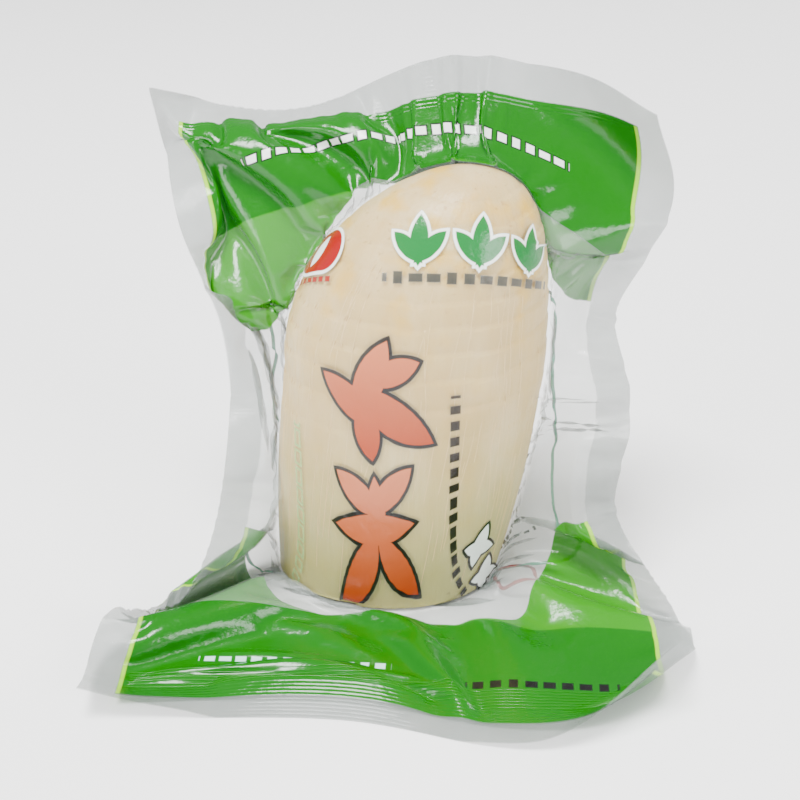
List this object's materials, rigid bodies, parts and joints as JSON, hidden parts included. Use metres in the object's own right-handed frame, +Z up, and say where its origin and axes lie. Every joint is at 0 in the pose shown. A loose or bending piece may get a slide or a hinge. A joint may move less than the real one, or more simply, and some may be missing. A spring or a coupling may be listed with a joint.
{
  "type": "vacuum-packed bamboo shoot",
  "caption": "Peeled, cooked winter bamboo shoot standing on its cut base, shrink-wrapped by a clear vacuum pouch with green printed bands and flat sealed margins",
  "frame": {"origin": "the middle of the whole pack's box, on the table it stands on", "axes": "+Z up along the shoot, -Y is the front that shows the print and the pouch's lower flap, +X is to the right as seen from the front"},
  "size_m": [0.1926, 0.1356, 0.1674],
  "materials": {
    "shoot_flesh": "moist peeled bamboo shoot flesh, cream with yellow patches and fine lengthwise fibres",
    "front_film": null,
    "back_film": "clear glossy laminated film, printed with green bands and a thin frame line, crinkled"
  },
  "bodies": {
    "root": {"bamboo_shoot": "shoot_flesh", "front_film": "front_film", "back_film": "back_film"}
  },
  "joints": []
}
